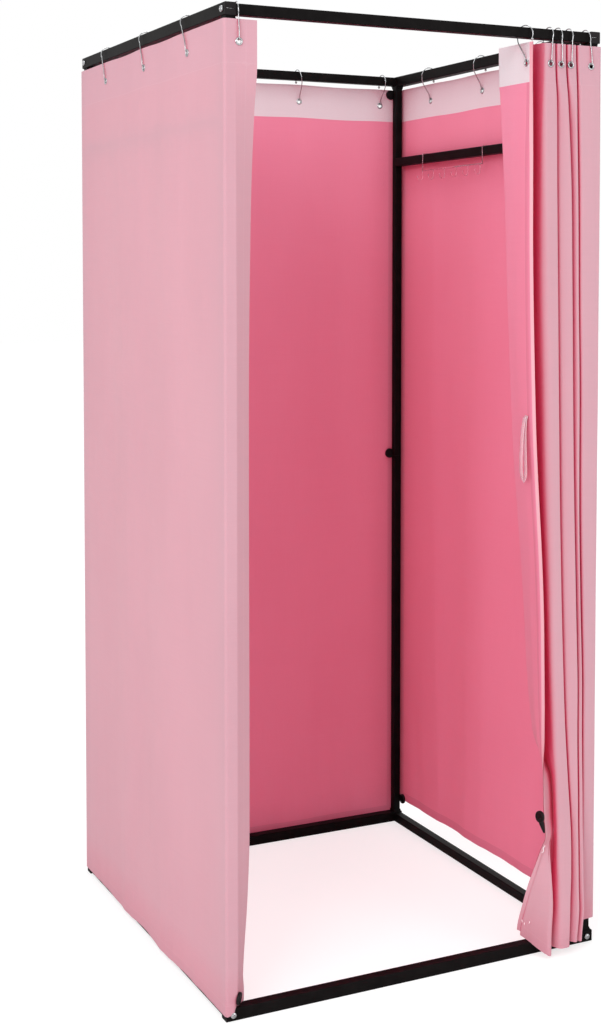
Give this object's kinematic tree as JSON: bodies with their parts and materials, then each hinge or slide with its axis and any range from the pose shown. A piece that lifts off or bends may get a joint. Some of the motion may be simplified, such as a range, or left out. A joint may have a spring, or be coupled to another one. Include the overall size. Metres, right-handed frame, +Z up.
{
  "type": "portable fitting room",
  "caption": "Free-standing fitting room of square tube with pink curtains on wire hooks, a doorway curtain that gathers to one side, clothes bars and a small hook rack.",
  "frame": {"origin": "on the floor, under the middle of the frame", "axes": "+Z up, -Y out of the doorway, +X to the right of someone who faces the doorway from outside"},
  "size_m": [0.8959, 0.9007, 2.0078],
  "materials": {
    "frame_paint": "black powder coat, satin",
    "bright_steel": "bright zinc plate",
    "black_plastic": "matt",
    "curtain_cloth": "woven, pale pink outside and deep pink inside",
    "clear_plastic": "clear coat on thin wire"
  },
  "bodies": {
    "frame": {"rail_top_left": "frame_paint", "rail_top_right": "frame_paint", "rail_top_front": "frame_paint", "rail_top_back": "frame_paint", "rail_bottom_left": "frame_paint", "rail_bottom_right": "frame_paint", "rail_bottom_front": "frame_paint", "rail_bottom_back": "frame_paint", "plug_left_front": "black_plastic", "plug_left_back": "black_plastic", "plug_right_front": "black_plastic", "plug_right_back": "black_plastic", "post_front_left_lower": "frame_paint", "post_front_left_upper": "frame_paint", "post_front_right_lower": "frame_paint", "post_front_right_upper": "frame_paint", "post_back_left_lower": "frame_paint", "post_back_left_upper": "frame_paint", "post_back_right_lower": "frame_paint", "post_back_right_upper": "frame_paint", "clothes_bar_left": "frame_paint", "clothes_bar_right": "frame_paint", "bolt_top_front_left": "bright_steel", "bolt_top_back_left": "bright_steel", "bolt_top_front_right": "bright_steel", "bolt_top_back_right": "bright_steel", "bolt_bottom_front_left": "bright_steel", "bolt_bottom_front_right": "bright_steel", "bolt_bottom_back_left": "bright_steel", "bolt_bottom_back_right": "bright_steel", "hook_left_1": "bright_steel", "hook_left_2": "bright_steel", "hook_left_3": "bright_steel", "hook_corner": "bright_steel", "hook_back_1": "bright_steel", "hook_back_2": "bright_steel", "hook_back_3": "bright_steel", "hook_back_4": "bright_steel", "hook_right_1": "bright_steel", "hook_right_2": "bright_steel", "hook_right_3": "bright_steel", "hook_front_5": "bright_steel", "curtain_left_back": "curtain_cloth", "curtain_right": "curtain_cloth", "magnet_back_top": "black_plastic", "magnet_back_middle": "black_plastic", "magnet_right_bottom": "black_plastic", "magnet_front_left": "black_plastic"},
    "fourth_fold": {"curtain_front_4": "curtain_cloth", "hook_front_4": "bright_steel"},
    "third_fold": {"curtain_front_3": "curtain_cloth", "hook_front_3": "bright_steel"},
    "second_fold": {"curtain_front_2": "curtain_cloth", "hook_front_2": "bright_steel"},
    "leading_edge": {"curtain_front_1": "curtain_cloth", "hook_front_1": "bright_steel", "magnet_leading_edge": "black_plastic"},
    "rack": {"hook_rack": "clear_plastic"}
  },
  "joints": [
    {"name": "fourth_hook_slide", "type": "slide", "parent": "frame", "child": "fourth_fold", "axis": [-1, 0, 0], "range_m": [0, 0.156]},
    {"name": "third_hook_slide", "type": "slide", "parent": "fourth_fold", "child": "third_fold", "axis": [-1, 0, 0], "range_m": [0, 0.156]},
    {"name": "second_hook_slide", "type": "slide", "parent": "third_fold", "child": "second_fold", "axis": [-1, 0, 0], "range_m": [0, 0.156]},
    {"name": "leading_hook_slide", "type": "slide", "parent": "second_fold", "child": "leading_edge", "axis": [-1, 0, 0], "range_m": [0, 0.156]},
    {"name": "rack_slide", "type": "slide", "parent": "frame", "child": "rack", "axis": [0, 1, 0], "range_m": [-0.395, 0.14]}
  ]
}
